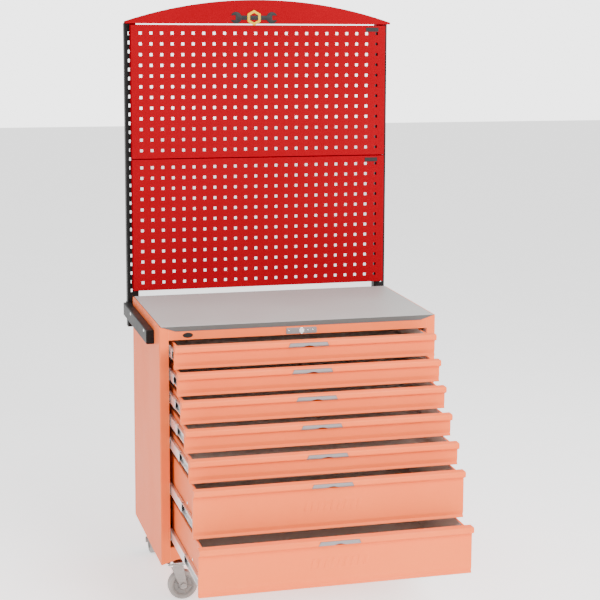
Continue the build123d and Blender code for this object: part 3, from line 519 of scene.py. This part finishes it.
def model_tread():
    """Crowned ring, 100 mm across and 32 mm wide, with its axis along Y."""
    tread = round_bar("tread", 50, 20, (0, 0, 0), sides=96)
    start_editing(tread)
    pick_faces(tread, lambda middle, normal: abs(normal.y) > 0.9)
    crown = ((0.4, 1.8), (0.9, 1.7), (1.4, 1.3), (1.9, 0.8), (2.2, 0.4))
    groove = ((0.7, -0.9), (0.7, 0.0), (0.7, 0.7))
    seat = ((2.9, 0.2), (0.8, -0.6))
    for inset, rise in crown + groove + seat:
        bpy.ops.mesh.inset(thickness=inset * MM, use_individual=True)
        bpy.ops.transform.shrink_fatten(value=rise * MM)
    bpy.ops.mesh.bridge_edge_loops()
    bpy.ops.mesh.select_all(action="SELECT")
    bpy.ops.mesh.normals_make_consistent(inside=False)
    stop_editing()
    deselect()
    tread.select_set(True)
    bpy.ops.object.shade_smooth_by_angle(angle=math.radians(40))
    return tread


def model_hub():
    """Hub with a rolled rim, a sunk web, a ring and a bearing boss on each side."""
    hub = round_bar("hub", 37.3, 30, (0, 0, 0), sides=72)
    start_editing(hub)
    pick_faces(hub, lambda middle, normal: abs(normal.y) > 0.9)
    for inset, sink in ((1.6, 0.9), (2.4, -1.0), (3.2, -4.5), (9.0, 0.0), (1.2, 1.6), (1.6, 0.0), (1.2, -1.6),
                        (3.6, 0.0), (1.2, 5.2), (3.4, 0.0), (1.0, -1.4)):
        bpy.ops.mesh.inset(thickness=inset * MM, use_individual=True)
        bpy.ops.transform.shrink_fatten(value=sink * MM)
    stop_editing()
    soften(hub, 0.5 * MM, 2, 30)
    spokes = []
    for step in range(6):
        spoke = bar("spoke", (11.5, -14, -1.4), (31.5, 14, 1.4))
        start_editing(spoke)
        pick_faces(spoke, lambda middle, normal: normal.x > 0.9)
        bpy.ops.transform.resize(value=(1, 0.86, 1.8))
        stop_editing()
        soften(spoke, 0.8 * MM, 2)
        spoke.data.transform(Matrix.Rotation(step * math.pi / 3 + 0.26, 4, "Y"))
        spokes.append(spoke)
    return joined("hub", [hub] + spokes)


def fit_wheels():
    tread = model_tread()
    hub = model_hub()
    quarter_turn = Matrix.Rotation(math.pi / 2, 4, "Z")
    for side in ("left", "right"):
        for end in ("front", "rear"):
            node = f"{end}_{side}_wheel"
            low, high = node_box(node)
            place = shift(*[(a + b) / 2 for a, b in zip(low, high)])
            turn = quarter_turn if end == "rear" else Matrix.Identity(4)
            hand_over(copy_of(tread, f"{end}_{side}_tread", place @ turn), node, "wheel_rubber", tread_rubber, node)
            hand_over(copy_of(hub, f"{end}_{side}_hub", place @ turn), node, "wheel_rubber", hub_plastic, node)
    for pattern in (tread, hub):
        bpy.data.objects.remove(pattern)


fit_wheels()


# ---------------------------------------------------------------- screws and bolts

def model_button_screw():
    """Button head 10 mm across with a hexagon socket, facing +X from the plane X = 0."""
    head = round_bar("button screw", 5, 2.4, (1.2, 0, 0), "X", 32)
    start_editing(head)
    pick_edges(head, lambda a, b: a.x > 0.0023 and b.x > 0.0023)
    bpy.ops.mesh.bevel(offset=1.7 * MM, segments=5, affect="EDGES")
    stop_editing()
    socket = round_bar("socket", 1.9, 3, (2.4, 0, 0), "X", 6)
    cut = head.modifiers.new("socket", "BOOLEAN")
    cut.object = socket
    cut.operation = "DIFFERENCE"
    deselect()
    bpy.context.view_layer.objects.active = head
    head.select_set(True)
    bpy.ops.object.modifier_apply(modifier=cut.name)
    bpy.ops.object.shade_smooth_by_angle(angle=math.radians(35))
    bpy.data.objects.remove(socket)
    shank = round_bar("shank", 2.9, 10, (-4.9, 0, 0), "X", 24)
    return joined("button screw", [head, shank])


def model_hex_bolt():
    """Hexagon head on a washer, facing +X from the plane X = 0."""
    washer = round_bar("washer", 8.5, 1.2, (0.6, 0, 0), "X", 36)
    soften(washer, 0.3 * MM, 2)
    head = round_bar("head", 7.4, 3.7, (3.05, 0, 0), "X", 6)
    start_editing(head)
    pick_faces(head, lambda middle, normal: normal.x > 0.9)
    bpy.ops.mesh.inset(thickness=1.1 * MM)
    bpy.ops.transform.translate(value=(0.05 * MM, 0, 0))
    stop_editing()
    soften(head, 0.4 * MM, 2)
    shank = round_bar("shank", 3.9, 10, (-4.9, 0, 0), "X", 24)
    return joined("hex bolt", [washer, head, shank])


def model_nut():
    """Hexagon nut 13 mm across flats on the end of its bolt, facing -X from the plane X = 0."""
    nut = round_bar("nut", 7.4, 5, (-2.5, 0, 0), "X", 6)
    soften(nut, 0.4 * MM, 2)
    end = round_bar("bolt end", 3.8, 6, (-3.6, 0, 0), "X", 20)
    soften(end, 0.4 * MM, 2)
    return joined("nut", [nut, end])


TO_ROW_Y = -77.5
TOP_Z = 951.0


def fit_frame_screws():
    button = model_button_screw()
    hex_bolt = model_hex_bolt()
    nut = model_nut()
    heads = []
    for side in (1, -1):
        turn = MIRROR_X if side < 0 else Matrix.Identity(4)
        for y in (150, 448):
            heads.append(copy_of(button, "arm screw", turn @ shift(505, y + TO_ROW_Y, TOP_Z - 38)))
        for z in (TOP_Z - 43, TOP_Z - 64):
            heads.append(copy_of(hex_bolt, "upright bolt", turn @ shift(490.5, 652 + TO_ROW_Y, z)))
            heads.append(copy_of(nut, "upright nut", turn @ shift(485.4, 652 + TO_ROW_Y, z)))
        facing_front = Matrix.Rotation(-math.pi / 2, 4, "Z")
        heads.append(copy_of(button, "header bolt", turn @ shift(459, 634 + TO_ROW_Y, TOP_Z + 960) @ facing_front))
        heads.append(copy_of(nut, "header nut", turn @ shift(459, 638.6 + TO_ROW_Y, TOP_Z + 960) @ facing_front))
    hand_over(joined("frame_screws", heads), "cabinet", "black_steel", zinc, "frame_bolts")
    for pattern in (button, hex_bolt, nut):
        bpy.data.objects.remove(pattern)


fit_frame_screws()


# ---------------------------------------------------------------- drawer details

DRAWERS = range(1, 8)


def fit_slide_details():
    """Ball cages and balls inside the middle members, and the rivets of the inner members."""
    for number in DRAWERS:
        low, high = node_box(f"slide_{number}_middle")
        centre_z = (low[2] + high[2]) / 2
        cage = bar("cage", (-441.2, low[1] + 4, centre_z - 9), (-439.4, low[1] + 78, centre_z + 9))
        start_editing(cage)
        pick_faces(cage, lambda middle, normal: normal.y < -0.9)
        bpy.ops.mesh.inset(thickness=2.5 * MM, use_even_offset=False)
        bpy.ops.transform.translate(value=(0, -4 * MM, 0))
        stop_editing()
        soften(cage, 0.5 * MM, 2)
        beads = []
        for z in (centre_z - 10.2, centre_z + 10.2):
            for step in range(3):
                deselect()
                bpy.ops.mesh.primitive_uv_sphere_add(segments=12, ring_count=8, radius=1.5 * MM,
                                                     location=(-440.2 * MM, (low[1] + 4 + 5 * step) * MM, z * MM))
                bead = bpy.context.object
                settle(bead)
                bead.data.transform(Matrix.Translation((0, 0, (centre_z - z) * MM * 0.16)))
                bpy.ops.object.shade_smooth()
                beads.append(bead)
        balls = joined(f"slide_{number}_balls", beads)
        other_cage = copy_of(cage, "cage right", MIRROR_X)
        other_balls = copy_of(balls, "balls right", MIRROR_X)
        hand_over(joined(f"slide_{number}_ball_cages", [cage, other_cage]), f"slide_{number}",
                  "black_plastic", cage_plastic)
        hand_over(joined(f"slide_{number}_balls", [balls, other_balls]), f"slide_{number}", "zinc_steel", chrome)

        low, high = node_box(f"drawer_{number}_rails")
        rivet = round_bar("rivet", 4.2, 1.6, (0, 0, 0), "X", 24)
        start_editing(rivet)
        pick_faces(rivet, lambda middle, normal: normal.x < -0.9)
        bpy.ops.mesh.inset(thickness=1.6 * MM)
        bpy.ops.transform.translate(value=(0.7 * MM, 0, 0))
        stop_editing()
        soften(rivet, 0.5 * MM, 2)
        rivets = []
        for y in (low[1] + 24, low[1] + 150, low[1] + 330):
            place = shift(-434.1, y, centre_z)
            rivets.append(copy_of(rivet, "rivet", place))
            rivets.append(copy_of(rivet, "rivet", MIRROR_X @ place))
        bpy.data.objects.remove(rivet)
        hand_over(joined(f"drawer_{number}_rail_rivets", rivets), f"drawer_{number}", "zinc_steel", zinc)


def fit_raised_ribs():
    """A row of slanted raised ribs pressed into the face of both deep drawers."""
    for number in (6, 7):
        latch_low, latch_high = node_box(f"drawer_{number}_latch")
        face_y = latch_low[1] + 20.3
        middle_z = latch_high[2] - 76
        ribs = []
        for step in range(9):
            x = (step - 4) * 21.5
            rib = bar("rib", (x - 5.5, face_y - 1.0, middle_z - 17), (x + 5.5, face_y + 0.1, middle_z + 17))
            start_editing(rib)
            pick_faces(rib, lambda middle, normal: normal.z > 0.9)
            bpy.ops.transform.translate(value=(9 * MM, 0, 0))
            pick_faces(rib, lambda middle, normal: normal.y < -0.9)
            bpy.ops.transform.resize(value=(0.82, 1, 0.94))
            stop_editing()
            soften(rib, 0.8 * MM, 3, 30)
            ribs.append(rib)
        hand_over(joined(f"drawer_{number}_raised_ribs", ribs), f"drawer_{number}", "cabinet_paint", salmon_coat)


def fit_tray_screws():
    """One screw near the front of each deep tray's side, above the slide."""
    for number in (6, 7):
        low, high = node_box(f"drawer_{number}_rails")
        head = round_bar("tray screw", 4.5, 1.8, (0, 0, 0), "X", 24)
        start_editing(head)
        pick_edges(head, lambda a, b: a.x < -0.0008 and b.x < -0.0008)
        bpy.ops.mesh.bevel(offset=1.1 * MM, segments=4, affect="EDGES")
        stop_editing()
        soften(head, 0.1 * MM, 1)
        place = shift(-432.8, low[1] + 150, high[2] + 16)
        heads = [copy_of(head, "tray screw", place), copy_of(head, "tray screw", MIRROR_X @ place)]
        bpy.data.objects.remove(head)
        hand_over(joined(f"drawer_{number}_tray_screws", heads), f"drawer_{number}", "zinc_steel", zinc)


fit_slide_details()
fit_raised_ribs()
fit_tray_screws()


# ---------------------------------------------------------------- lock trim

def fit_lock_trim():
    """Chrome ring round the barrel and two rivets on the lock plate."""
    low, high = node_box("lock_plate")
    front_y = low[1]
    x = 3
    z = (low[2] + high[2]) / 2
    ring = round_bar("lock_ring", 10.2, 1.6, (x, front_y - 0.8, z), "Y", 48)
    start_editing(ring)
    pick_faces(ring, lambda middle, normal: abs(normal.y) > 0.9)
    bpy.ops.mesh.inset(thickness=1.2 * MM, use_individual=True)
    bpy.ops.mesh.bridge_edge_loops()
    bpy.ops.mesh.select_all(action="SELECT")
    bpy.ops.mesh.normals_make_consistent(inside=False)
    stop_editing()
    soften(ring, 0.4 * MM, 2)
    hand_over(ring, "cabinet", "zinc_steel", chrome)
    rivets = []
    for rivet_x in (x + 22, x + 38, x - 44):
        rivet = round_bar("plate rivet", 2.8, 1.4, (rivet_x, front_y - 0.7, z), "Y", 24)
        start_editing(rivet)
        pick_edges(rivet, lambda a, b: min(a.y, b.y) < (front_y - 1.39) * MM and abs(a.y - b.y) < 1e-6)
        bpy.ops.mesh.bevel(offset=1.0 * MM, segments=4, affect="EDGES")
        stop_editing()
        soften(rivet, 0.05 * MM, 1)
        rivets.append(rivet)
    hand_over(joined("lock_plate_rivets", rivets), "cabinet", "zinc_steel", chrome)


fit_lock_trim()


# ---------------------------------------------------------------- header emblem

def fit_header_emblem():
    """A black spanner lying behind a yellow hexagon nut, both thin plates on the header."""
    low = node_box("arched_header")[0]
    front_y = low[1] - 0.1
    middle_x, middle_z = -25.0, low[2] + 50.0
    ring = round_bar("nut", 28, 1.6, (middle_x, front_y - 1.2, middle_z), "Y", 6)
    start_editing(ring)
    pick_faces(ring, lambda middle, normal: abs(normal.y) > 0.9)
    bpy.ops.mesh.inset(thickness=9 * MM, use_individual=True)
    bpy.ops.mesh.bridge_edge_loops()
    bpy.ops.mesh.select_all(action="SELECT")
    bpy.ops.mesh.normals_make_consistent(inside=False)
    stop_editing()
    soften(ring, 0.5 * MM, 2)
    hand_over(ring, "cabinet", "black_plastic", badge_yellow)

    handle = bar("spanner", (middle_x - 62, front_y - 0.9, middle_z - 8),
                 (middle_x + 62, front_y + 0.05, middle_z + 8))
    jaws = []
    for side in (-1, 1):
        jaw = round_bar("jaw", 21, 0.95, (middle_x + side * 66, front_y - 0.42, middle_z), "Y", 40)
        mouth = bar("mouth", (middle_x + side * 80 - 12, front_y - 5, middle_z - 8),
                    (middle_x + side * 80 + 12, front_y + 5, middle_z + 8))
        cut = jaw.modifiers.new("mouth", "BOOLEAN")
        cut.object = mouth
        cut.operation = "DIFFERENCE"
        deselect()
        bpy.context.view_layer.objects.active = jaw
        jaw.select_set(True)
        bpy.ops.object.modifier_apply(modifier=cut.name)
        bpy.data.objects.remove(mouth)
        jaws.append(jaw)
    spanner = joined("header_spanner", [handle] + jaws)
    soften(spanner, 0.2 * MM, 2)
    hand_over(spanner, "cabinet", "black_plastic", label_print)


fit_header_emblem()


# ---------------------------------------------------------------- floor and light

bpy.ops.mesh.primitive_plane_add(size=40, location=(0, 0, 0))
floor = bpy.context.object
floor.name = "floor"
pale = Finish("pale floor", 0.9, specular=0.1)
speck = pale.group(orange_peel, Scale=30.0, Ripple=1.0)
pale.feed(pale.mix(speck.outputs["Tone"], (0.90, 0.90, 0.90), (0.93, 0.93, 0.93)), "Base Color")
pale.shader.inputs["Emission Color"].default_value = (1.0, 1.0, 1.0, 1.0)
pale.shader.inputs["Emission Strength"].default_value = 1.0
floor.data.materials.append(pale.material)

world = bpy.data.worlds.new("soft studio")
bpy.context.scene.world = world
world.use_nodes = True
sky = world.node_tree
soft_light = sky.nodes["Background"]
soft_light.inputs["Strength"].default_value = 1.0
soft_light.inputs["Color"].default_value = (1.0, 1.0, 1.0, 1.0)
backdrop = sky.nodes.new("ShaderNodeBackground")
backdrop.inputs["Strength"].default_value = 4.5
chosen = sky.nodes.new("ShaderNodeMixShader")
sky.links.new(sky.nodes.new("ShaderNodeLightPath").outputs["Is Camera Ray"], chosen.inputs[0])
sky.links.new(soft_light.outputs[0], chosen.inputs[1])
sky.links.new(backdrop.outputs[0], chosen.inputs[2])
sky.links.new(chosen.outputs[0], sky.nodes["World Output"].inputs["Surface"])


def softbox(name, place, target, size, watts):
    data = bpy.data.lights.new(name, "AREA")
    data.shape = "RECTANGLE"
    data.size, data.size_y = size
    data.energy = watts
    lamp = bpy.data.objects.new(name, data)
    bpy.context.scene.collection.objects.link(lamp)
    lamp.location = place
    lamp.rotation_euler = (Vector(target) - Vector(place)).to_track_quat("-Z", "Y").to_euler()
    return lamp


softbox("front light", (1.6, -4.5, 3.2), (0, 0, 0.8), (2.5, 2.5), 420)
softbox("left light", (-4.0, -1.5, 2.6), (0, 0, 0.9), (2.0, 2.5), 45)
softbox("top light", (0.3, 0.2, 4.2), (0, 0, 0.9), (3.0, 2.0), 120)
